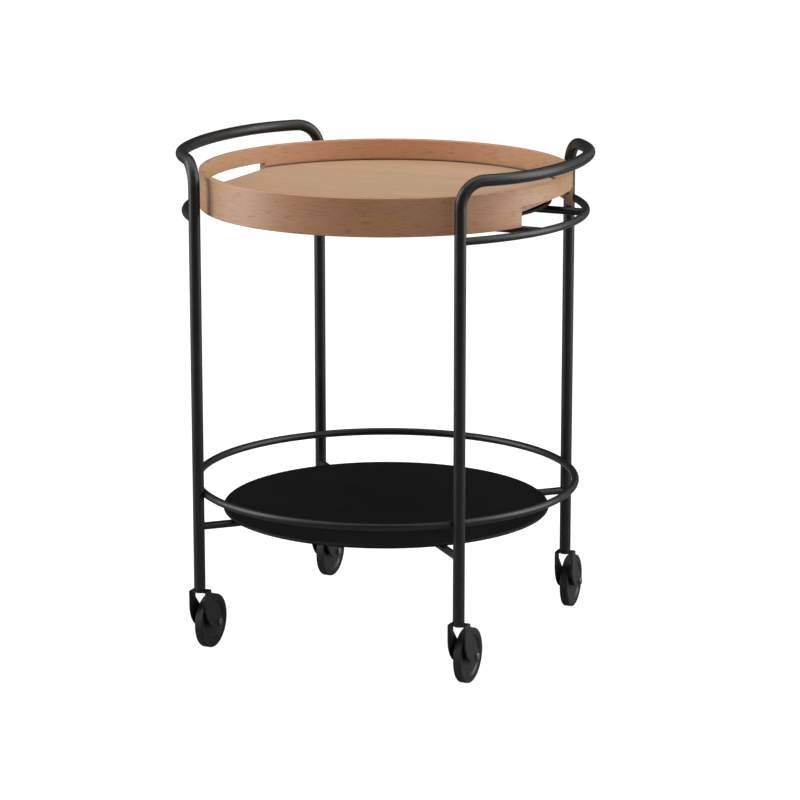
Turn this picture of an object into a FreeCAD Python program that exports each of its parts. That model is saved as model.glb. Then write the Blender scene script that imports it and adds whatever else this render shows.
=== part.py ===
"""Round two-level service trolley: two bent tube sides, rod shelves, steel discs, a lift-off
wooden tray and four swivel casters. Millimetres, +Z up, +X to one handle, floor at z = 0."""

import FreeCAD, Part
import Sketcher
import math
import os

V = FreeCAD.Vector
X_AXIS = V(1, 0, 0)
Z_AXIS = V(0, 0, 1)
UPRIGHT = FreeCAD.Rotation()
ALONG_X = FreeCAD.Rotation(Z_AXIS, X_AXIS)
MIDDLE = ("0 mm", "0 mm", "0 mm")
# Each leg's tag with the signs of its place along X and Y.
LEGS = (("fl", -1, -1), ("rl", -1, 1), ("fr", 1, -1), ("rr", 1, 1))

# Driving sizes: name, millimetres or degrees, and what it measures.
SIZES = [
    ("LegTube", 16.0, "outside of the bent side tubes"),
    ("TubeWall", 1.5, "wall of the bent side tubes"),
    ("LegOffset", 194.9, "leg axis from the middle, along X and along Y"),
    ("HandleRise", 78.6, "axis of the handles above the upper rods"),
    ("HandleBulge", 80.1, "furthest point of a handle's axis outside of its legs"),
    ("HandleFlatter", 160.1, "radius of a handle's long middle arc, more than the leg offset"),
    ("HandleTighter", 14.9, "radius of the arcs that follow it, less than the leg offset"),
    ("HandleBend", 34.4, "radius of the bend from handle to leg"),
    ("Rod", 10.5, "diameter of every welded rod"),
    ("CrossRise", 88.3, "axis of the lower crossing rods above the feet of the legs"),
    ("RailRise", 45.5, "axis of the guard ring above the crossing rods"),
    ("RailSeat", 3.0, "depth of the seat of the guard ring on each leg"),
    ("ShelfRise", 428.0, "axis of the upper rods above the crossing rods"),
    ("UpperBarOffset", 80.0, "axis of each upper bar from the middle, along Y"),
    ("DiscMargin", 39.1, "edge of both steel discs from the legs"),
    ("DiscSheet", 2.0, "sheet of the discs"),
    ("DiscLip", 4.0, "height of the turned-down lip of a disc"),
    ("DiscCrease", 1.5, "inner rounding of the fold at the lip"),
    ("SpacerDiameter", 16.0, "spacer between an upper bar and the upper disc"),
    ("SpacerHeight", 10.0, "spacer from the top of the bar to the sheet of the disc"),
    ("SpacerReach", 150.0, "spacer from the middle, along X"),
    ("SpacerSeat", 2.5, "depth of the saddle that holds the bar"),
    ("TrayMargin", 10.9, "outside of the tray from the legs"),
    ("BandWall", 8.0, "thickness of the tray's bent wooden band"),
    ("BandHeight", 51.9, "height of the band"),
    ("BandBevel", 1.0, "bevel along the top and bottom edges of the band"),
    ("BandBarGap", 0.1, "clearance of the band over the upper bars"),
    ("FloorBoard", 6.8, "thickness of the tray floor"),
    ("TongueHeight", 3.4, "height of the floor's tongue in the band"),
    ("TongueDepth", 3.0, "depth of the groove for the tongue"),
    ("ShadowGap", 1.5, "open joint round the top of the floor"),
    ("FloorLift", 3.3, "open space between the upper disc and the tray floor"),
    ("GripWidth", 185.0, "width of each finger notch along Y"),
    ("GripOver", 6.8, "top of each finger notch above the tray floor"),
    ("GripRound", 2.0, "rounding of the upper corners of a finger notch"),
    ("GripFloorGap", 3.0, "straight side of the floor from the band, at each notch"),
    ("PivotBolt", 8.0, "shank of the pivot bolt"),
    ("PivotHead", 12.0, "flat head of the pivot bolt"),
    ("PivotHeadHeight", 1.2, "height of that head"),
    ("PivotReach", 18.0, "pivot bolt into the plug of the leg"),
    ("PlugSpare", 8.0, "plug of the leg past the end of the pivot bolt"),
    ("CollarDiameter", 12.0, "collar between leg and fork"),
    ("CollarHeight", 2.9, "height of the collar"),
    ("PivotAxialGap", 0.1, "clearance of the fork plate against collar and bolt head"),
    ("PivotRadialGap", 0.05, "clearance of the fork round the pivot bolt"),
    ("ForkSheet", 2.0, "sheet of the fork"),
    ("ForkFront", 6.9, "front edge of the fork ahead of the leg axis"),
    ("ForkBack", 9.0, "back edge of the fork plate behind the leg axis"),
    ("ForkSweep", 40.0, "radius of the swept front edge"),
    ("ForkEnd", 9.0, "rounding of the arms about the axle"),
    ("ForkBackDrop", 13.0, "upright part of the back edge"),
    ("ForkCorner", 1.5, "rounding along the folds of the fork"),
    ("WheelRadius", 37.9, "outer radius of a wheel"),
    ("WheelGap", 12.2, "fork plate above the top of the wheel"),
    ("WheelTrail", 31.7, "axle behind the leg axis"),
    ("RearRightTurn", 4.7, "rear right caster turned from straight back, as it stands"),
    ("TyreWidth", 12.2, "width of the tyre"),
    ("TyreSideGap", 5.3, "tyre from each arm of the fork"),
    ("TyreDepth", 5.5, "radial thickness of the tyre"),
    ("TyreRound", 1.8, "rounding of the tyre's edges"),
    ("HubRim", 3.0, "radial width of the hub's raised rim"),
    ("HubRecess", 2.4, "web of the hub below the rim, each side"),
    ("HubRimInset", 0.4, "rim of the hub below the side of the tyre"),
    ("HubBoss", 14.0, "diameter of the middle boss of the hub"),
    ("HubSlope", 3.0, "sloping inner side of the rim"),
    ("HubSideGap", 0.4, "clearance of the boss to each arm"),
    ("Axle", 6.0, "axle bolt"),
    ("AxleRadialGap", 0.05, "clearance of the wheel round the axle"),
    ("AxleHead", 10.0, "head of the axle bolt"),
    ("AxleHeadHeight", 3.0, "height of that head"),
    ("AxleHeadRound", 1.2, "rounding of that head"),
    ("NutFlats", 10.0, "axle nut across its flats"),
    ("NutHeight", 4.0, "height of the axle nut"),
    ("AxleTip", 1.2, "axle bolt past the nut"),
]

# Sizes that follow from others, as expressions of the sheet's cells.
FORK_UNDER = "(2 * Sizes.WheelRadius + Sizes.WheelGap)"
FORK_TOP = f"({FORK_UNDER} + Sizes.ForkSheet)"
FORK_INNER = "(Sizes.TyreWidth / 2 + Sizes.TyreSideGap)"
FORK_OUTER = f"({FORK_INNER} + Sizes.ForkSheet)"
LEG_FOOT = f"({FORK_TOP} + Sizes.PivotAxialGap + Sizes.CollarHeight)"
LEG_CIRCLE = "(Sizes.LegOffset * sqrt(2))"
LEG_INNER = f"({LEG_CIRCLE} - Sizes.LegTube / 2)"
BORE = "(Sizes.LegTube / 2 - Sizes.TubeWall)"
CROSS_HEIGHT = f"({LEG_FOOT} + Sizes.CrossRise)"
RAIL_HEIGHT = f"({CROSS_HEIGHT} + Sizes.RailRise)"
RAIL_RADIUS = f"({LEG_INNER} + Sizes.RailSeat - Sizes.Rod / 2)"
UPPER_HEIGHT = f"({CROSS_HEIGHT} + Sizes.ShelfRise)"
HANDLE_HEIGHT = f"({UPPER_HEIGHT} + Sizes.HandleRise)"
HANDLE_ARC = "(Sizes.LegOffset + Sizes.HandleFlatter)"
HANDLE_END_ARC = "(Sizes.LegOffset - Sizes.HandleTighter)"
DISC_RADIUS = f"({LEG_INNER} - Sizes.DiscMargin)"
LOWER_DISC_TOP = f"({CROSS_HEIGHT} + Sizes.Rod / 2 + Sizes.DiscLip)"
UPPER_DISC_TOP = f"({UPPER_HEIGHT} + Sizes.Rod / 2 + Sizes.SpacerHeight + Sizes.DiscSheet)"
FLOOR_UNDER = f"({UPPER_DISC_TOP} + Sizes.FloorLift)"
BAND_OUTER = f"({LEG_INNER} - Sizes.TrayMargin)"
BAND_INNER = f"({BAND_OUTER} - Sizes.BandWall)"
BAND_FOOT = f"({UPPER_HEIGHT} + Sizes.Rod / 2 + Sizes.BandBarGap)"
BAND_TOP = f"({BAND_FOOT} + Sizes.BandHeight)"
GRIP_TOP = f"({FLOOR_UNDER} + Sizes.FloorBoard + Sizes.GripOver)"
GRIP_SIDE = f"(sqrt({BAND_INNER} ^ 2 - Sizes.GripWidth ^ 2 / 4) - Sizes.GripFloorGap)"

doc = FreeCAD.newDocument("Trolley")
sheet = doc.addObject("Spreadsheet::Sheet", "Sizes")
for row, (alias, value, note) in enumerate(SIZES, start=1):
    sheet.set(f"A{row}", note)
    sheet.set(f"B{row}", str(value))
    sheet.setAlias(f"B{row}", alias)
doc.recompute()
nodes = []


# ---------------------------------------------------------------- helpers


def worth(formula):
    """Present value of a formula."""
    return float(sheet.evalExpression(formula))


def bind(item, **formulas):
    """Bind properties of an object to formulas."""
    for name, formula in formulas.items():
        item.setExpression(name, formula)
    return item


def place(item, spot=MIDDLE, rotation=UPRIGHT):
    """Turn an object and bind its place to three formulas."""
    item.Placement = FreeCAD.Placement(V(*(worth(formula) for formula in spot)), rotation)
    for axis, formula in zip("xyz", spot):
        item.setExpression(f"Placement.Base.{axis}", formula)
    return item


def keep(item, label):
    """Mark an object as a finished sub-part under its node name."""
    item.Label = label
    nodes.append(item)
    return item


def camel(label):
    """Node name as the stem of object names."""
    return label.title().replace("_", "")


def cylinder(name, radius, height, spot, rotation=UPRIGHT):
    """Cylinder whose radius, height and place are formulas."""
    item = bind(doc.addObject("Part::Cylinder", name), Radius=radius, Height=height)
    return place(item, spot, rotation)


def ring(name, radius, section, start, sweep, centre, frame=UPRIGHT):
    """Round rod bent to a radius, from a start angle over a sweep in degrees."""
    item = bind(doc.addObject("Part::Torus", name), Radius1=radius, Radius2=section)
    item.Angle3 = sweep
    return place(item, centre, frame * FreeCAD.Rotation(Z_AXIS, start))


def fuse(name, pieces):
    """Union of several objects."""
    item = doc.addObject("Part::MultiFuse", name)
    item.Shapes = pieces
    item.Refine = True
    return item


def cut(name, base, tools):
    """Base less one or more tools."""
    item = doc.addObject("Part::Cut", name)
    item.Base = base
    item.Tool = tools[0] if len(tools) == 1 else fuse(name + "Tools", tools)
    item.Refine = True
    return item


def leg_spot(sign_x, sign_y, height="0 mm"):
    """Point on the axis of a leg."""
    return (f"{sign_x} * Sizes.LegOffset", f"{sign_y} * Sizes.LegOffset", height)


def leg_turn(sign_x, sign_y):
    """Direction of a leg from the middle, in degrees about Z from +X."""
    return math.degrees(math.atan2(sign_y, sign_x))


def leg_cores(name, height, legs=LEGS):
    """Solid cylinders in the place of the legs about a height, to cope the rods that meet them."""
    return [
        cylinder(name + tag.upper(), "Sizes.LegTube / 2", height, leg_spot(sign_x, sign_y, f"{height} / 2"))
        for tag, sign_x, sign_y in legs
    ]


# ---------------------------------------------------------------- bent side tubes


def handle_plan():
    """Plan of the +X handle. The middle arc turns through `first`, the end arc goes on to `last`,
    and a tangent as long as the bend radius then reaches the leg axis. Radians and millimetres."""
    leg = worth("Sizes.LegOffset")
    arc = worth(HANDLE_ARC)
    end_arc = worth(HANDLE_END_ARC)
    bend = worth("Sizes.HandleBend")
    middle = leg + worth("Sizes.HandleBulge") - arc
    step = arc - end_arc
    cosine = 2 * step * (middle - leg)
    sine = -2 * step * leg
    total = end_arc**2 + bend**2 - step**2 - leg**2 - (middle - leg) ** 2
    first = math.atan2(sine, cosine) + math.acos(total / math.hypot(sine, cosine))
    centre = V(middle + step * math.cos(first), step * math.sin(first), 0)
    toward_leg = math.atan2(leg - centre.y, leg - centre.x)
    last = toward_leg - math.atan2(bend, end_arc)
    return middle, centre, first, last


def side_solid(name, section):
    """Legs, bends and handle arcs of one side as a solid of the given section radius."""
    middle, centre, first, last = handle_plan()
    turned = math.degrees(first)
    rest = math.degrees(last - first)
    spot = (f"{middle}", "0 mm", HANDLE_HEIGHT)
    pieces = [ring(name + "Middle", HANDLE_ARC, section, -turned, 2 * turned, spot)]
    for tag, sign in (("Front", -1), ("Rear", 1)):
        start = turned if sign > 0 else -turned - rest
        spot = (f"{centre.x}", f"{sign * centre.y}", HANDLE_HEIGHT)
        pieces.append(ring(name + tag + "Arc", HANDLE_END_ARC, section, start, rest, spot))
        along = V(-math.sin(last), sign * math.cos(last), 0)
        standing = FreeCAD.Rotation(along, Z_AXIS, along.cross(Z_AXIS), "XYZ")
        low = f"{HANDLE_HEIGHT} - Sizes.HandleBend"
        spot = (
            f"Sizes.LegOffset - ({along.x}) * Sizes.HandleBend",
            f"{sign} * Sizes.LegOffset - ({along.y}) * Sizes.HandleBend",
            low,
        )
        pieces.append(ring(name + tag + "Bend", "Sizes.HandleBend", section, 0, 90, spot, standing))
        leg = cylinder(name + tag + "Leg", section, f"{low} - {LEG_FOOT}", leg_spot(1, sign, LEG_FOOT))
        pieces.append(leg)
    return fuse(name, pieces)


def side_frame(label, turned):
    """One bent tube: front leg, handle and rear leg in a single piece."""
    name = "Side" + camel(label)
    outer = side_solid(name + "Outer", "Sizes.LegTube / 2")
    inner = side_solid(name + "Bore", BORE)
    tube = place(cut(name, outer, [inner]), MIDDLE, FreeCAD.Rotation(Z_AXIS, turned))
    return keep(tube, label)


# ---------------------------------------------------------------- welded rods


def arc_rod(name, side):
    """Quarter ring of rod between the two legs of a side, at the height of the upper rods."""
    centre = ("0 mm", "0 mm", UPPER_HEIGHT)
    return ring(name, LEG_CIRCLE, "Sizes.Rod / 2", leg_turn(side, -side), 90, centre)


def upper_arc(label, side):
    """Rod arc between the two legs of a side, coped to both."""
    name = camel(label)
    legs = [leg for leg in LEGS if leg[1] == side]
    return keep(cut(name, arc_rod(name + "Rod", side), leg_cores(name + "Leg", UPPER_HEIGHT, legs)), label)


def upper_bar(label, side):
    """Straight rod between the two upper arcs, coped to both."""
    name = camel(label)
    half = f"sqrt({LEG_CIRCLE} ^ 2 - Sizes.UpperBarOffset ^ 2)"
    spot = (f"-{half}", f"{side} * Sizes.UpperBarOffset", UPPER_HEIGHT)
    rod = cylinder(name + "Rod", "Sizes.Rod / 2", f"2 * {half}", spot, ALONG_X)
    return keep(cut(name, rod, [arc_rod(f"{name}Arc{end}", end) for end in (1, -1)]), label)


def lower_rail():
    """Guard ring inside the legs, coped where it seats against each of them."""
    rod = ring("RailRod", RAIL_RADIUS, "Sizes.Rod / 2", 0, 360, ("0 mm", "0 mm", RAIL_HEIGHT))
    return keep(cut("Rail", rod, leg_cores("RailLeg", RAIL_HEIGHT)), "lower_rail")


def cross_rod(name, sign_x, sign_y, length):
    """Level rod from the middle toward a leg, at the height of the crossing rods."""
    outward = V(sign_x, sign_y, 0)
    spot = ("0 mm", "0 mm", CROSS_HEIGHT)
    return cylinder(name, "Sizes.Rod / 2", length, spot, FreeCAD.Rotation(Z_AXIS, outward))


def through_rods(name, length):
    """Both halves of the through rod, from the middle to the rear right and front left."""
    return [cross_rod(f"{name}{end}", end, end, length) for end in (1, -1)]


def lower_cross_through():
    """Through rod from the front left leg to the rear right leg."""
    rod = fuse("CrossThroughRod", through_rods("CrossThroughHalf", LEG_CIRCLE))
    tools = leg_cores("CrossThroughLeg", CROSS_HEIGHT)
    return keep(cut("CrossThrough", rod, tools), "lower_cross_through")


def lower_cross_half(label, sign_x, sign_y):
    """Half rod from the middle of the through rod to one of the other two legs."""
    name = camel(label)
    tools = leg_cores(name + "Leg", CROSS_HEIGHT) + through_rods(name + "Through", "2 * Sizes.Rod")
    return keep(cut(name, cross_rod(name + "Rod", sign_x, sign_y, LEG_CIRCLE), tools), label)


# ---------------------------------------------------------------- sketched bodies


def body_at(name, spot=MIDDLE, rotation=UPRIGHT):
    """Empty body whose own frame stands at a spot."""
    return place(doc.addObject("PartDesign::Body", name), spot, rotation)


def sketch_on(body, name, plane):
    """Empty sketch on one of the body's origin planes."""
    sketch = body.newObject("Sketcher::SketchObject", name)
    planes = [item for item in body.Origin.OriginFeatures if item.Role == plane]
    sketch.AttachmentSupport = [(planes[0], "")]
    sketch.MapMode = "FlatFace"
    return sketch


def hold(sketch, kind, formula, *ends):
    """Dimension of a sketch bound to a formula."""
    number = sketch.addConstraint(Sketcher.Constraint(kind, *ends, worth(formula)))
    sketch.setExpression(f"Constraints[{number}]", formula)


def profile(body, name, plane, corners):
    """Closed straight outline; every corner is held from the origin by two formulas."""
    sketch = sketch_on(body, name, plane)
    spots = [V(worth(across), worth(upward), 0) for across, upward in corners]
    count = len(spots)
    for index, spot in enumerate(spots):
        sketch.addGeometry(Part.LineSegment(spot, spots[(index + 1) % count]), False)
    for index in range(count):
        sketch.addConstraint(Sketcher.Constraint("Coincident", index, 2, (index + 1) % count, 1))
    for index, (across, upward) in enumerate(corners):
        hold(sketch, "DistanceX", across, -1, 1, index, 1)
        hold(sketch, "DistanceY", upward, -1, 1, index, 1)
    return sketch


def disc_sketch(body, name, plane, radius, across="0 mm", upward="0 mm"):
    """One circle whose radius and centre are formulas."""
    sketch = sketch_on(body, name, plane)
    centre = V(worth(across), worth(upward), 0)
    sketch.addGeometry(Part.Circle(centre, Z_AXIS, worth(radius)), False)
    hold(sketch, "Radius", radius, 0)
    hold(sketch, "DistanceX", across, -1, 1, 0, 3)
    hold(sketch, "DistanceY", upward, -1, 1, 0, 3)
    return sketch


def revolve(body, sketch, axis):
    """Full turn of a sketch about its own H_Axis or V_Axis."""
    item = body.newObject("PartDesign::Revolution", sketch.Name + "Turn")
    item.Profile = sketch
    item.ReferenceAxis = (sketch, [axis])
    item.Angle = 360
    doc.recompute()
    return item


def extrude(body, kind, sketch, length):
    """Pad or Pocket of a sketch, half to each side of its plane."""
    item = body.newObject(f"PartDesign::{kind}", sketch.Name + kind)
    item.Profile = sketch
    item.SideType = "Symmetric"
    bind(item, Length=length)
    doc.recompute()
    return item


def dress(body, kind, name, formula, wanted):
    """Fillet or Chamfer of the edges of the body's tip that pass a test."""
    base = body.Tip
    edges = [f"Edge{n}" for n, edge in enumerate(base.Shape.Edges, start=1) if wanted(edge)]
    item = body.newObject(f"PartDesign::{kind}", name)
    item.Base = (base, edges)
    bind(item, **{"Radius" if kind == "Fillet" else "Size": formula})
    doc.recompute()
    return item


def near(one, other):
    """True for two lengths that are the same to a tenth of a micron."""
    return math.isclose(one, other, abs_tol=1e-4)


def is_circle(edge, radius, **centre):
    """True for a round edge of a radius whose centre has the given coordinates."""
    if edge.Curve.TypeId != "Part::GeomCircle" or not near(edge.Curve.Radius, worth(radius)):
        return False
    return all(near(getattr(edge.Curve.Center, axis), worth(at)) for axis, at in centre.items())


def is_line(edge, **middle):
    """True for a straight edge whose middle has the given coordinates, signs left out."""
    if edge.Curve.TypeId != "Part::GeomLine":
        return False
    return all(near(abs(getattr(edge.CenterOfMass, axis)), worth(at)) for axis, at in middle.items())


# ---------------------------------------------------------------- discs and spacers


def steel_disc(label, top):
    """Pressed disc: flat sheet whose rounded edge turns down into a short lip."""
    name = camel(label)
    body = body_at(name)
    inner = f"{DISC_RADIUS} - Sizes.DiscSheet"
    under = f"{top} - Sizes.DiscSheet"
    foot = f"{top} - Sizes.DiscLip"
    corners = [
        ("0 mm", top),
        (DISC_RADIUS, top),
        (DISC_RADIUS, foot),
        (inner, foot),
        (inner, under),
        ("0 mm", under),
    ]
    revolve(body, profile(body, name + "Section", "XZ_Plane", corners), "V_Axis")
    outer_round = "Sizes.DiscCrease + Sizes.DiscSheet"
    dress(body, "Fillet", name + "Shoulder", outer_round, lambda e: is_circle(e, DISC_RADIUS, z=top))
    dress(body, "Fillet", name + "Crease", "Sizes.DiscCrease", lambda e: is_circle(e, inner, z=under))
    return keep(body, label)


def disc_spacers():
    """Four short posts with a saddle over the upper bars, under the upper disc."""
    posts = []
    bars = []
    foot = f"{UPPER_HEIGHT} + Sizes.Rod / 2 - Sizes.SpacerSeat"
    for tag, sign_x, sign_y in LEGS:
        across = f"{sign_x} * Sizes.SpacerReach"
        along = f"{sign_y} * Sizes.UpperBarOffset"
        height = "Sizes.SpacerHeight + Sizes.SpacerSeat"
        posts.append(cylinder("Post" + tag, "Sizes.SpacerDiameter / 2", height, (across, along, foot)))
        start = (f"{across} - Sizes.SpacerDiameter", along, UPPER_HEIGHT)
        bars.append(cylinder("PostBar" + tag, "Sizes.Rod / 2", "2 * Sizes.SpacerDiameter", start, ALONG_X))
    group = doc.addObject("Part::Compound", "Posts")
    group.Links = posts
    return keep(cut("Spacers", group, bars), "disc_spacers")


# ---------------------------------------------------------------- wooden tray


def tray_band():
    """Bent wooden band with a groove for the floor and two finger notches."""
    body = body_at("TrayBand")
    groove = f"{BAND_INNER} + Sizes.TongueDepth"
    groove_top = f"{FLOOR_UNDER} + Sizes.TongueHeight"
    corners = [
        (BAND_INNER, BAND_FOOT),
        (BAND_OUTER, BAND_FOOT),
        (BAND_OUTER, BAND_TOP),
        (BAND_INNER, BAND_TOP),
        (BAND_INNER, groove_top),
        (groove, groove_top),
        (groove, FLOOR_UNDER),
        (BAND_INNER, FLOOR_UNDER),
    ]
    revolve(body, profile(body, "BandSection", "XZ_Plane", corners), "V_Axis")
    rims = [(radius, level) for radius in (BAND_OUTER, BAND_INNER) for level in (BAND_FOOT, BAND_TOP)]
    on_rim = lambda e: any(is_circle(e, radius, z=level) for radius, level in rims)
    dress(body, "Chamfer", "BandEdges", "Sizes.BandBevel", on_rim)
    side = "Sizes.GripWidth / 2"
    below = f"{BAND_FOOT} - Sizes.BandWall"
    notch = [(f"-{side}", below), (side, below), (side, GRIP_TOP), (f"-{side}", GRIP_TOP)]
    extrude(body, "Pocket", profile(body, "Grips", "YZ_Plane", notch), f"3 * {BAND_OUTER}")
    dress(body, "Fillet", "GripCorners", "Sizes.GripRound", lambda e: is_line(e, y=side, z=GRIP_TOP))
    return keep(body, "tray_band")


def tray_floor():
    """Round floor with a tongue for the band's groove and a straight side at each notch."""
    foot = ("0 mm", "0 mm", FLOOR_UNDER)
    board = cylinder("FloorBoardDisc", f"{BAND_INNER} - Sizes.ShadowGap", "Sizes.FloorBoard", foot)
    tongue = cylinder("FloorTongue", f"{BAND_INNER} + Sizes.TongueDepth", "Sizes.TongueHeight", foot)
    span = doc.addObject("Part::Box", "FloorSpan")
    bind(span, Length=f"2 * {GRIP_SIDE}", Width=f"2 * {BAND_OUTER}", Height="Sizes.FloorBoard")
    place(span, (f"-{GRIP_SIDE}", f"-{BAND_OUTER}", FLOOR_UNDER))
    item = doc.addObject("Part::MultiCommon", "TrayFloor")
    item.Shapes = [fuse("FloorWhole", [board, tongue]), span]
    return keep(item, "tray_floor")


# ---------------------------------------------------------------- casters


def caster_turn(tag):
    """Angle a caster stands turned from straight back, in degrees."""
    return "Sizes.RearRightTurn" if tag == "rr" else "0"


def caster_frame(tag):
    """Rotation of a caster about its pivot."""
    return FreeCAD.Rotation(Z_AXIS, worth(caster_turn(tag)))


def wheel_spot(tag, sign_x, sign_y):
    """Middle of a wheel, below its leg and behind it by the trail, turned with the caster."""
    turn = caster_turn(tag)
    across, along, height = leg_spot(sign_x, sign_y, "Sizes.WheelRadius")
    return (
        f"{across} - Sizes.WheelTrail * sin({turn})",
        f"{along} + Sizes.WheelTrail * cos({turn})",
        height,
    )


def wheel_body(name, tag, sign_x, sign_y):
    """Empty body whose own frame stands at the middle of a wheel, with X along the axle."""
    return body_at(name, wheel_spot(tag, sign_x, sign_y), caster_frame(tag))


def leg_plug(tag, sign_x, sign_y):
    """Plug pressed into the foot of a leg, bored for the pivot bolt."""
    foot = leg_spot(sign_x, sign_y, LEG_FOOT)
    length = "Sizes.PivotReach + Sizes.PlugSpare"
    plug = cylinder("PlugRound" + tag, BORE, length, foot)
    bore = cylinder("PlugBore" + tag, "Sizes.PivotBolt / 2", length, foot)
    return keep(cut("Plug" + tag, plug, [bore]), "leg_plug_" + tag)


def pivot_bolt(tag, sign_x, sign_y):
    """Bolt from inside the fork, through its plate and the collar, into the plug."""
    shoulder = f"{FORK_UNDER} - Sizes.PivotAxialGap"
    low = leg_spot(sign_x, sign_y, f"{shoulder} - Sizes.PivotHeadHeight")
    head = cylinder("PivotHead" + tag, "Sizes.PivotHead / 2", "Sizes.PivotHeadHeight", low)
    length = f"{LEG_FOOT} + Sizes.PivotReach - ({shoulder})"
    shank = cylinder("PivotShank" + tag, "Sizes.PivotBolt / 2", length, leg_spot(sign_x, sign_y, shoulder))
    return keep(fuse("Pivot" + tag, [head, shank]), "pivot_bolt_" + tag)


def pivot_collar(tag, sign_x, sign_y):
    """Collar that keeps the fork clear of the leg."""
    foot = leg_spot(sign_x, sign_y, f"{LEG_FOOT} - Sizes.CollarHeight")
    outer = cylinder("CollarRound" + tag, "Sizes.CollarDiameter / 2", "Sizes.CollarHeight", foot)
    bore = cylinder("CollarBore" + tag, "Sizes.PivotBolt / 2", "Sizes.CollarHeight", foot)
    return keep(cut("Collar" + tag, outer, [bore]), "pivot_collar_" + tag)


def arm_outline(body, name):
    """Side view of the fork: upright front, swept edge, round end about the axle, sloping back.
    The tangent points are worked out, so the sketch starts as its constraints hold it."""
    front = -worth("Sizes.ForkFront")
    top = worth(FORK_TOP)
    sweep = worth("Sizes.ForkSweep")
    end = worth("Sizes.ForkEnd")
    axle = V(worth("Sizes.WheelTrail"), worth("Sizes.WheelRadius"), 0)
    back = V(worth("Sizes.ForkBack"), top - worth("Sizes.ForkBackDrop"), 0)
    across = front + sweep - axle.x
    centre = V(axle.x + across, axle.y + math.sqrt((sweep - end) ** 2 - across**2), 0)
    meeting = math.atan2(axle.y - centre.y, axle.x - centre.x) % (2 * math.pi)
    slope = axle - back
    leaving = math.atan2(slope.y, slope.x) + math.asin(end / slope.Length) + math.pi / 2
    leave = axle + V(math.cos(leaving), math.sin(leaving), 0) * end
    spots = [V(front, top, 0), V(front, centre.y, 0), leave, back, V(back.x, top, 0)]
    swept = Part.ArcOfCircle(Part.Circle(centre, Z_AXIS, sweep), math.pi, meeting)
    rounded = Part.ArcOfCircle(Part.Circle(axle, Z_AXIS, end), meeting, leaving + 2 * math.pi)
    pieces = [
        Part.LineSegment(spots[0], spots[1]),
        swept,
        rounded,
        Part.LineSegment(spots[2], spots[3]),
        Part.LineSegment(spots[3], spots[4]),
        Part.LineSegment(spots[4], spots[0]),
    ]
    sketch = sketch_on(body, name, "YZ_Plane")
    sketch.addGeometry(pieces, False)
    for index, kind in enumerate(["Tangent"] * 3 + ["Coincident"] * 3):
        after = (index + 1) % len(pieces)
        sketch.addConstraint(Sketcher.Constraint(kind, index, 2, after, 1))
    for index, kind in ((0, "Vertical"), (4, "Vertical"), (5, "Horizontal")):
        sketch.addConstraint(Sketcher.Constraint(kind, index))
    hold(sketch, "DistanceX", "-Sizes.ForkFront", -1, 1, 0, 1)
    hold(sketch, "DistanceY", FORK_TOP, -1, 1, 0, 1)
    hold(sketch, "Radius", "Sizes.ForkSweep", 1)
    hold(sketch, "Radius", "Sizes.ForkEnd", 2)
    hold(sketch, "DistanceX", "Sizes.WheelTrail", -1, 1, 2, 3)
    hold(sketch, "DistanceY", "Sizes.WheelRadius", -1, 1, 2, 3)
    hold(sketch, "DistanceX", "Sizes.ForkBack", -1, 1, 4, 1)
    hold(sketch, "DistanceY", f"{FORK_TOP} - Sizes.ForkBackDrop", -1, 1, 4, 1)
    return sketch


def fork(tag, sign_x, sign_y):
    """Folded sheet fork: plate with the pivot hole and two swept arms with the axle holes."""
    name = "Fork" + tag
    body = body_at(name, leg_spot(sign_x, sign_y), caster_frame(tag))
    extrude(body, "Pad", arm_outline(body, name + "Side"), f"2 * {FORK_OUTER}")
    left = f"-{FORK_INNER}"
    inside = [(left, "0 mm"), (FORK_INNER, "0 mm"), (FORK_INNER, FORK_UNDER), (left, FORK_UNDER)]
    hollow = profile(body, name + "Inside", "XZ_Plane", inside)
    extrude(body, "Pocket", hollow, "4 * (Sizes.WheelTrail + Sizes.ForkEnd)")
    pivot = disc_sketch(body, name + "Pivot", "XY_Plane", "Sizes.PivotBolt / 2 + Sizes.PivotRadialGap")
    extrude(body, "Pocket", pivot, f"3 * {FORK_TOP}")
    spot = ("Sizes.WheelTrail", "Sizes.WheelRadius")
    axle = disc_sketch(body, name + "Axle", "YZ_Plane", "Sizes.Axle / 2", *spot)
    extrude(body, "Pocket", axle, f"3 * {FORK_OUTER}")
    dress(body, "Fillet", name + "Folds", "Sizes.ForkCorner", lambda e: is_line(e, x=FORK_OUTER, z=FORK_TOP))
    return keep(body, "fork_" + tag)


def axle_bolt(tag, sign_x, sign_y):
    """Axle bolt with a low round head on the +X arm."""
    name = "AxleBolt" + tag
    body = wheel_body(name, tag, sign_x, sign_y)
    face = f"{FORK_OUTER} + Sizes.AxleHeadHeight"
    tip = f"-({FORK_OUTER} + Sizes.NutHeight + Sizes.AxleTip)"
    corners = [
        (tip, "0 mm"),
        (face, "0 mm"),
        (face, "Sizes.AxleHead / 2"),
        (FORK_OUTER, "Sizes.AxleHead / 2"),
        (FORK_OUTER, "Sizes.Axle / 2"),
        (tip, "Sizes.Axle / 2"),
    ]
    revolve(body, profile(body, name + "Section", "XZ_Plane", corners), "H_Axis")
    rim = dict(radius="Sizes.AxleHead / 2", x=face)
    dress(body, "Fillet", name + "HeadRound", "Sizes.AxleHeadRound", lambda e: is_circle(e, **rim))
    return keep(body, "axle_bolt_" + tag)


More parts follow.
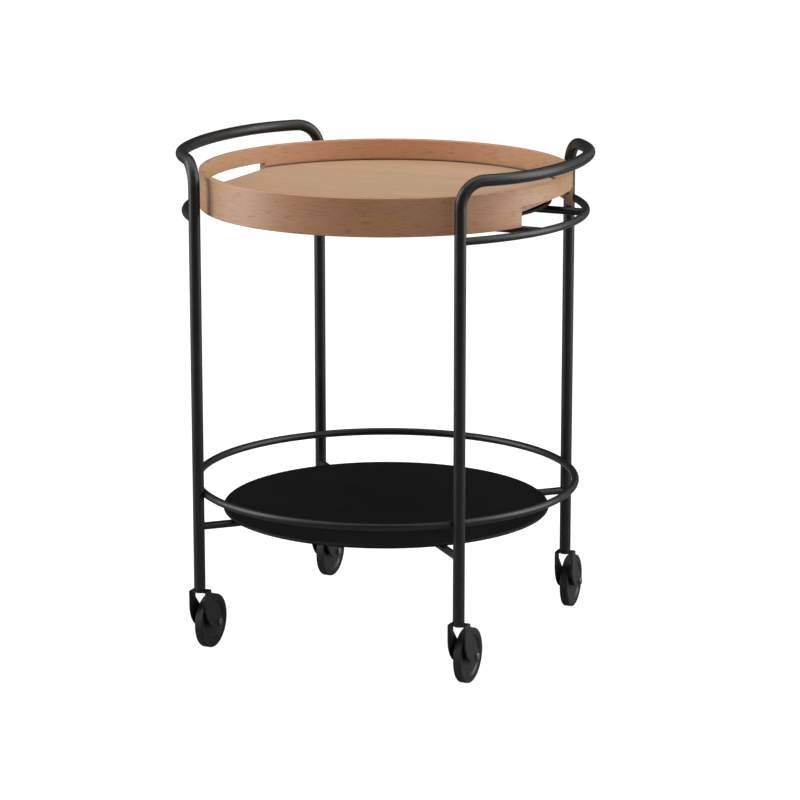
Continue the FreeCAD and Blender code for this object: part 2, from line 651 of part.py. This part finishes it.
def axle_nut(tag, sign_x, sign_y):
    """Hexagon nut on the -X end of the axle bolt."""
    spot = (f"-({FORK_OUTER} + Sizes.NutHeight)", "0 mm", "0 mm")
    hexagon = doc.addObject("Part::Prism", "NutHexagon" + tag)
    hexagon.Polygon = 6
    bind(hexagon, Circumradius="Sizes.NutFlats / sqrt(3)", Height="Sizes.NutHeight")
    place(hexagon, spot, ALONG_X)
    bore = cylinder("NutBore" + tag, "Sizes.Axle / 2", "Sizes.NutHeight", spot, ALONG_X)
    nut = place(cut("Nut" + tag, hexagon, [bore]), wheel_spot(tag, sign_x, sign_y), caster_frame(tag))
    return keep(nut, "axle_nut_" + tag)


def wheel_hub(tag, sign_x, sign_y):
    """Moulded wheel: middle boss, flat recessed web and raised rim with a sloping inner side."""
    name = "Hub" + tag
    body = wheel_body(name, tag, sign_x, sign_y)
    boss = f"{FORK_INNER} - Sizes.HubSideGap"
    rim = "Sizes.TyreWidth / 2 - Sizes.HubRimInset"
    web = f"{rim} - Sizes.HubRecess"
    edge = "Sizes.WheelRadius - Sizes.TyreDepth"
    side = [
        (boss, "Sizes.Axle / 2 + Sizes.AxleRadialGap"),
        (boss, "Sizes.HubBoss / 2"),
        (web, "Sizes.HubBoss / 2"),
        (web, f"{edge} - Sizes.HubRim - Sizes.HubSlope"),
        (rim, f"{edge} - Sizes.HubRim"),
        (rim, edge),
    ]
    other = [(f"-({across})", outward) for across, outward in reversed(side)]
    revolve(body, profile(body, name + "Section", "XZ_Plane", side + other), "H_Axis")
    return keep(body, "wheel_hub_" + tag)


def tyre(tag, sign_x, sign_y):
    """Rubber tyre round the hub, with rounded shoulders."""
    name = "Tyre" + tag
    body = wheel_body(name, tag, sign_x, sign_y)
    side = "Sizes.TyreWidth / 2"
    inner = "Sizes.WheelRadius - Sizes.TyreDepth"
    outer = "Sizes.WheelRadius"
    corners = [(f"-{side}", inner), (side, inner), (side, outer), (f"-{side}", outer)]
    revolve(body, profile(body, name + "Section", "XZ_Plane", corners), "H_Axis")
    dress(body, "Fillet", name + "Shoulders", "Sizes.TyreRound", lambda e: is_circle(e, outer))
    return keep(body, "tyre_" + tag)


# ---------------------------------------------------------------- the whole trolley

side_frame("frame_right", 0)
side_frame("frame_left", 180)
upper_arc("upper_arc_right", 1)
upper_arc("upper_arc_left", -1)
upper_bar("upper_bar_front", -1)
upper_bar("upper_bar_rear", 1)
lower_rail()
lower_cross_through()
lower_cross_half("lower_cross_front", 1, -1)
lower_cross_half("lower_cross_rear", -1, 1)
steel_disc("lower_disc", LOWER_DISC_TOP)
steel_disc("upper_disc", UPPER_DISC_TOP)
disc_spacers()
tray_band()
tray_floor()
for leg in LEGS:
    for sub_part in (leg_plug, pivot_bolt, pivot_collar, fork, axle_bolt, axle_nut, wheel_hub, tyre):
        sub_part(*leg)

doc.recompute()
for item in doc.Objects:
    if {"Invalid", "Error"} & set(item.State):
        raise RuntimeError(f"{item.Name} did not build: {item.State}")
for item in nodes:
    if item.Shape.isNull() or not item.Shape.isValid():
        raise RuntimeError(f"{item.Label} has no valid solid")

os.makedirs("parts", exist_ok=True)
for item in nodes:
    item.Shape.exportStep(f"parts/{item.Label}.step")
    print(item.Label, len(item.Shape.Solids), round(item.Shape.Volume))
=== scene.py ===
"""Looks of a round two-level service trolley: materials, floor, light and camera."""

import math

import bpy
from mathutils import Matrix, Vector

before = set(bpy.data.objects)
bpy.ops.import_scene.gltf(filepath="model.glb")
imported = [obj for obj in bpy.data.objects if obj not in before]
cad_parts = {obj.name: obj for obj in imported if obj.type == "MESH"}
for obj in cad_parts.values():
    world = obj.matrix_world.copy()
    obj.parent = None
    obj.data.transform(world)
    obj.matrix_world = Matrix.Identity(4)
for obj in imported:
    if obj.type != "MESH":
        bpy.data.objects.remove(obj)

scene = bpy.context.scene
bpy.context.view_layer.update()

WHITE = (1.0, 1.0, 1.0)


# ---------------------------------------------------------------- shader helpers


class Nodes:
    """Node tree of a material or a world, with short calls to add and join its nodes."""

    def __init__(self, owner):
        owner.use_nodes = True
        self.tree = owner.node_tree

    def give(self, socket, value):
        """A value or another node's output to an input."""
        if isinstance(value, bpy.types.NodeSocket):
            self.tree.links.new(value, socket)
        elif socket.type == "RGBA":
            socket.default_value = (*value, 1.0)
        else:
            socket.default_value = value

    def add(self, kind, *values, settings=None, **inputs):
        """Node of a kind. Values go to its first inputs in order; other inputs are named with
        underscores. Both take numbers, colours or outputs."""
        node = self.tree.nodes.new("ShaderNode" + kind)
        for key, value in (settings or {}).items():
            setattr(node, key, value)
        for socket, value in zip(node.inputs, values):
            self.give(socket, value)
        for key, value in inputs.items():
            self.give(node.inputs[key.replace("_", " ")], value)
        return node

    def spot(self):
        """Place on the surface in the part's own space, in metres."""
        return self.add("TexCoord").outputs["Object"]

    def span(self, value, low, high, to_low=0.0, to_high=1.0):
        """Value moved smoothly from one range to another."""
        settings = {"interpolation_type": "SMOOTHSTEP"}
        return self.add("MapRange", value, low, high, to_low, to_high, settings=settings).outputs["Result"]

    def math(self, operation, one, other=0.0):
        """Result of one step of arithmetic."""
        return self.add("Math", one, other, settings={"operation": operation}).outputs["Value"]

    def vector_math(self, operation, *vectors):
        """Number that one step of vector arithmetic gives."""
        return self.add("VectorMath", *vectors, settings={"operation": operation}).outputs["Value"]


class Finish(Nodes):
    """Material of the part under construction, on the surface shader that it comes with."""

    def __init__(self, name):
        self.material = bpy.data.materials.new(name)
        super().__init__(self.material)
        self.surface = self.tree.nodes["Principled BSDF"]

    def noise(self, stretch, detail=3.0, roughness=0.55, distortion=0.0):
        """Noise from 0 to 1; stretch is how many features a metre holds along each axis."""
        drawn = self.add("Mapping", Vector=self.spot(), Scale=stretch).outputs["Vector"]
        shape = {"Scale": 1.0, "Detail": detail, "Roughness": roughness, "Distortion": distortion}
        return self.add("TexNoise", Vector=drawn, **shape).outputs["Fac"]

    def mix(self, factor, one, other):
        """Colour between two colours."""
        node = self.add("Mix", factor, settings={"data_type": "RGBA"})
        self.give(node.inputs[6], one)
        self.give(node.inputs[7], other)
        return node.outputs[2]

    def relief(self, height, distance, strength=1.0):
        """Bump from a height, of a depth in metres."""
        bump = self.add("Bump", Height=height, Distance=distance, Strength=strength)
        self.give(self.surface.inputs["Normal"], bump.outputs["Normal"])

    def done(self, **inputs):
        """Material with these inputs of its surface shader, named with underscores."""
        for key, value in inputs.items():
            self.give(self.surface.inputs[key.replace("_", " ")], value)
        return self.material


# ---------------------------------------------------------------- kinds of material

COAT_RELIEF = 0.00005
MOULD_RELIEF = 0.00002
SCRATCH_RELIEF = 0.00002
PORE_RELIEF = 0.00005

# Features in a metre of wood, along the grain and across it.
BROAD_STREAKS = (2, 30)
FIGURE_STREAKS = (9, 210)
FINE_STREAKS = (38, 800)
FLECKS = (60, 800)
RED_ZONES = 3.4

LACQUER_ROUGHNESS = 0.42
# Painted shade in the wood's joints and where other parts come close: how far the occlusion looks, in
# metres, and the colour it darkens to.
PAINTED_SHADE_REACH = 0.006
PAINTED_SHADE_COLOUR = (0.055, 0.02, 0.008)


def powder_coat(name, colour, light, roughness, specular=0.5):
    """Fine-textured powder coat: faint mottling, an uneven gloss and a grainy relief."""
    finish = Finish(name)
    grain = finish.noise((1100, 1100, 1100), detail=2.0)
    cloud = finish.noise((22, 22, 22), detail=4.0)
    finish.relief(grain, COAT_RELIEF)
    uneven = finish.span(grain, 0.2, 0.8, roughness - 0.04, roughness + 0.04)
    return finish.done(
        Base_Color=finish.mix(finish.span(cloud, 0.3, 0.7), colour, light),
        Roughness=finish.math("ADD", uneven, finish.span(cloud, 0.3, 0.7, -0.03, 0.03)),
        Specular_IOR_Level=specular,
    )


def moulded(name, colour, light, roughness):
    """Moulded rubber or nylon: faint flow clouds and a fine matt grain."""
    finish = Finish(name)
    grain = finish.noise((2400, 2400, 2400), detail=2.0)
    cloud = finish.noise((60, 60, 60), detail=3.0)
    finish.relief(grain, MOULD_RELIEF)
    return finish.done(
        Base_Color=finish.mix(finish.span(cloud, 0.3, 0.7), colour, light),
        Roughness=finish.span(cloud, 0.25, 0.75, roughness - 0.05, roughness + 0.05),
        Specular_IOR_Level=0.5,
    )


def plated_steel(name, colour, roughness):
    """Dull plated steel with fine scratches."""
    finish = Finish(name)
    scratch = finish.noise((300, 2600, 300), detail=3.0)
    finish.relief(scratch, SCRATCH_RELIEF)
    dull = tuple(0.7 * part for part in colour)
    return finish.done(
        Base_Color=finish.mix(finish.span(scratch, 0.3, 0.75), colour, dull),
        Metallic=1.0,
        Roughness=finish.span(scratch, 0.2, 0.8, roughness - 0.08, roughness + 0.08),
    )


def wood(name, across, shade_axis, pale, deep, red, pore):
    """Lacquered hardwood: broad soft streaks, fine figure and short dark flecks, all drawn out
    along the grain, and painted shade in the joints and where other parts come close. `across` is 1
    for the axes across the grain and 0 along it; besides random red zones, a red, darker tone away from
    the middle along the direction given after `across` is painted shade on the faces the side lights reach
    least."""
    finish = Finish(name)

    def streaks(size, **shape):
        return finish.noise(tuple(size[part] for part in across), **shape)

    broad = streaks(BROAD_STREAKS, detail=3.0, distortion=0.4)
    figure = streaks(FIGURE_STREAKS, detail=4.0, roughness=0.6)
    fine = streaks(FINE_STREAKS, detail=3.0, roughness=0.6)
    flecks = streaks(FLECKS, detail=2.0, roughness=0.45)

    zone = finish.span(finish.noise((RED_ZONES,) * 3, detail=1.0), 0.45, 0.7, 0.0, 0.3)
    # Painted shade: away from the middle along the given axis, on the band's front and back, which the
    # side lights reach least, the tone turns red and darker.
    reach = finish.math("ABSOLUTE", finish.vector_math("DOT_PRODUCT", finish.spot(), shade_axis))
    red_zones_and_painted_shade = finish.math("MAXIMUM", zone, finish.span(reach, 0.06, 0.25, 0.0, 0.8))

    tone = finish.mix(finish.span(broad, 0.3, 0.72), pale, deep)
    tone = finish.mix(red_zones_and_painted_shade, tone, red)
    tone = finish.mix(finish.span(figure, 0.35, 0.75, 0.0, 0.5), tone, deep)
    tone = finish.mix(finish.span(fine, 0.4, 0.8, 0.0, 0.4), tone, red)
    tone = finish.mix(finish.span(flecks, 0.54, 0.72, 0.0, 0.6), tone, pore)
    # Painted shade: occlusion darkens the wood in the joints and where other parts come close.
    shade_occlusion = finish.add("AmbientOcclusion", Distance=PAINTED_SHADE_REACH).outputs["AO"]
    tone = finish.mix(finish.span(shade_occlusion, 0.52, 0.88, 0.95, 0.0), tone, PAINTED_SHADE_COLOUR)

    ridges = finish.span(fine, 0.3, 0.7, 0.0, 0.4)
    finish.relief(finish.math("SUBTRACT", ridges, finish.span(flecks, 0.58, 0.74)), PORE_RELIEF, 0.5)
    calm = finish.span(figure, 0.3, 0.7, LACQUER_ROUGHNESS - 0.05, LACQUER_ROUGHNESS + 0.04)
    return finish.done(
        Base_Color=tone,
        Roughness=finish.math("ADD", calm, finish.span(flecks, 0.6, 0.76, 0.0, 0.1)),
        Specular_IOR_Level=0.75,
    )


# ---------------------------------------------------------------- materials on the CAD nodes


frame_coat = powder_coat("frame_coat", (0.0036, 0.0035, 0.0032), (0.0052, 0.0050, 0.0046), 0.37, 0.6)
disc_coat = powder_coat("disc_coat", (0.0018, 0.0017, 0.0016), (0.0026, 0.0024, 0.0022), 0.50, 0.2)
fork_coat = powder_coat("fork_coat", (0.0100, 0.0100, 0.0094), (0.0130, 0.0129, 0.0120), 0.48)
band_wood = wood(
    "band_wood",
    across=(0, 0, 1),
    # Axis along which the band's front and back are painted redder and darker as shade.
    shade_axis=(0.41, -0.91, 0.0),
    pale=(0.55, 0.37, 0.215),
    deep=(0.50, 0.30, 0.160),
    red=(0.57, 0.25, 0.122),
    pore=(0.30, 0.13, 0.055),
)
# Same wood as the band; its paler, less red tones are painted sheen from the top light on this upward
# face.
floor_wood = wood(
    "floor_wood",
    across=(0, 1, 1),
    shade_axis=(0.0, 0.0, 0.0),
    pale=(0.575, 0.39, 0.258),
    deep=(0.515, 0.335, 0.205),
    red=(0.53, 0.325, 0.188),
    pore=(0.38, 0.22, 0.12),
)
plug_steel = plated_steel("plug_steel", (0.42, 0.42, 0.43), 0.45)
bolt_steel = plated_steel("bolt_steel", (0.30, 0.30, 0.30), 0.38)
hub_nylon = moulded("hub_nylon", (0.0125, 0.0125, 0.0118), (0.0160, 0.0160, 0.0150), 0.42)
tyre_rubber = moulded("tyre_rubber", (0.0110, 0.0110, 0.0105), (0.0145, 0.0145, 0.0138), 0.55)
pad_rubber = moulded("pad_rubber", (0.020, 0.020, 0.020), (0.026, 0.026, 0.026), 0.6)

# Start of a node's name and the finish it gets; the longest start that fits counts.
FINISHES = {
    "frame_": frame_coat,
    "upper_": frame_coat,
    "lower_": frame_coat,
    "lower_disc": disc_coat,
    "upper_disc": disc_coat,
    "disc_spacers": pad_rubber,
    "tray_band": band_wood,
    "tray_floor": floor_wood,
    "leg_plug_": plug_steel,
    "pivot_bolt_": bolt_steel,
    "pivot_collar_": fork_coat,
    "fork_": fork_coat,
    "axle_": bolt_steel,
    "wheel_hub_": hub_nylon,
    "tyre_": tyre_rubber,
}
for name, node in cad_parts.items():
    start = max(filter(name.startswith, FINISHES), key=len)
    node.data.materials.clear()
    node.data.materials.append(FINISHES[start])


# ---------------------------------------------------------------- camera

# Where the camera stands, in degrees from -Y and above the floor's plane, and in metres.
AZIMUTH, ELEVATION = 24.18, 13.28
CAMERA_SPOT = (1.8334, -4.0356, 1.3834)
LENS = 146.73
SENSOR_WIDTH = 36.0


def toward(azimuth, elevation):
    """Unit vector from the trolley toward an azimuth from -Y and an elevation, in degrees."""
    around, up = math.radians(azimuth), math.radians(elevation)
    return Vector((math.sin(around) * math.cos(up), -math.cos(around) * math.cos(up), math.sin(up)))


camera_data = bpy.data.cameras.new("camera")
camera_data.sensor_width = SENSOR_WIDTH
camera_data.lens = LENS
camera_data.clip_end = 100.0
camera = bpy.data.objects.new("camera", camera_data)
back = toward(AZIMUTH, ELEVATION)
right = toward(AZIMUTH + 90, 0)
up = back.cross(right)
camera.matrix_world = Matrix.Translation(CAMERA_SPOT) @ Matrix((right, up, back)).transposed().to_4x4()
scene.collection.objects.link(camera)
scene.camera = camera


# ---------------------------------------------------------------- floor

FLOOR_HALF = 20.0
FLOOR_TONE = (0.30, 0.30, 0.30)
# The glow that makes the floor white to the camera: at the trolley, far from it, and where the
# one turns into the other, in metres from the middle.
GLOW_NEAR, GLOW_FAR = 0.94, 1.0
GLOW_FROM, GLOW_TO = 0.4, 1.1


def floor_material():
    """Pale floor: the camera sees it as white, with the trolley's shadow kept as a faint one."""
    material = bpy.data.materials.new("studio_floor")
    nodes = Nodes(material)
    nodes.tree.nodes.clear()
    pale = nodes.add("BsdfDiffuse", Color=FLOOR_TONE).outputs["BSDF"]
    away = nodes.span(nodes.vector_math("LENGTH", nodes.spot()), GLOW_FROM, GLOW_TO, GLOW_NEAR, GLOW_FAR)
    glow = nodes.add("Emission", Color=WHITE, Strength=away).outputs["Emission"]
    white = nodes.add("AddShader", pale, glow).outputs["Shader"]
    seen = nodes.add("LightPath").outputs["Is Camera Ray"]
    surface = nodes.add("MixShader", seen, pale, white).outputs["Shader"]
    nodes.add("OutputMaterial", Surface=surface)
    return material


corners = [(x * FLOOR_HALF, y * FLOOR_HALF, 0) for x, y in ((-1, -1), (1, -1), (1, 1), (-1, 1))]
floor_mesh = bpy.data.meshes.new("studio_floor")
floor_mesh.from_pydata(corners, [], [(0, 1, 2, 3)])
floor_mesh.materials.append(floor_material())
floor = bpy.data.objects.new("studio_floor", floor_mesh)
scene.collection.objects.link(floor)


# ---------------------------------------------------------------- light

TARGET = Vector((0.0, 0.0, 0.40))

# Softboxes: name, azimuth from the camera, elevation, distance, width, height and power in watts.
LIGHTS = (
    ("light_top", 0, 89, 2.4, 2.6, 2.6, 28.0),
    ("light_left", -90, 18, 2.6, 1.8, 2.4, 47.0),
    ("light_right", 90, 18, 2.6, 1.8, 2.4, 45.0),
    ("light_left_high", -90, 52, 2.6, 1.8, 1.6, 8.0),
    ("light_right_high", 90, 52, 2.6, 1.8, 1.6, 10.0),
    ("light_front_left", -48, 22, 2.6, 1.8, 2.0, 4.0),
    ("light_front_right", 48, 22, 2.6, 1.8, 2.0, 10.0),
    ("light_back_left", -135, 25, 2.8, 1.8, 2.2, 2.0),
    ("light_back_right", 135, 25, 2.8, 1.8, 2.2, 4.0),
)

# Strength of the world: all round, and behind the trolley for what its gloss reflects. The
# second fades in over this much of the direction away from the camera.
AMBIENT = 0.14
BACKDROP = 0.05
BACKDROP_EDGE = 0.7


def softbox(name, azimuth, elevation, distance, width, height, power):
    """Rectangular studio light that faces the trolley."""
    data = bpy.data.lights.new(name, "AREA")
    data.shape = "RECTANGLE"
    data.size = width
    data.size_y = height
    data.energy = power
    lamp = bpy.data.objects.new(name, data)
    facing = toward(AZIMUTH + azimuth, elevation)
    lamp.location = TARGET + facing * distance
    lamp.rotation_mode = "QUATERNION"
    lamp.rotation_quaternion = facing.to_track_quat("Z", "Y")
    scene.collection.objects.link(lamp)


def studio_world():
    """Even dim light all round, a darker room behind the trolley for what its gloss reflects,
    and plain white for the camera."""
    world = bpy.data.worlds.new("studio")
    nodes = Nodes(world)
    nodes.tree.nodes.clear()

    def even(strength):
        return nodes.add("Background", Color=WHITE, Strength=strength).outputs["Background"]

    def blend(factor, one, other):
        return nodes.add("MixShader", factor, one, other).outputs["Shader"]

    rays = nodes.add("LightPath").outputs
    direction = nodes.add("TexCoord").outputs["Generated"]
    away = nodes.vector_math("DOT_PRODUCT", direction, -toward(AZIMUTH, 0))
    shining = nodes.math("ADD", rays["Is Glossy Ray"], rays["Is Transmission Ray"])
    reflected = nodes.math("MULTIPLY", nodes.span(away, 0.0, BACKDROP_EDGE), shining)
    room = blend(reflected, even(AMBIENT), even(BACKDROP))
    seen = blend(rays["Is Camera Ray"], room, even(1.0))
    nodes.add("OutputWorld", Surface=seen)
    return world


for light in LIGHTS:
    softbox(*light)
scene.world = studio_world()
scene.view_settings.view_transform = "Standard"
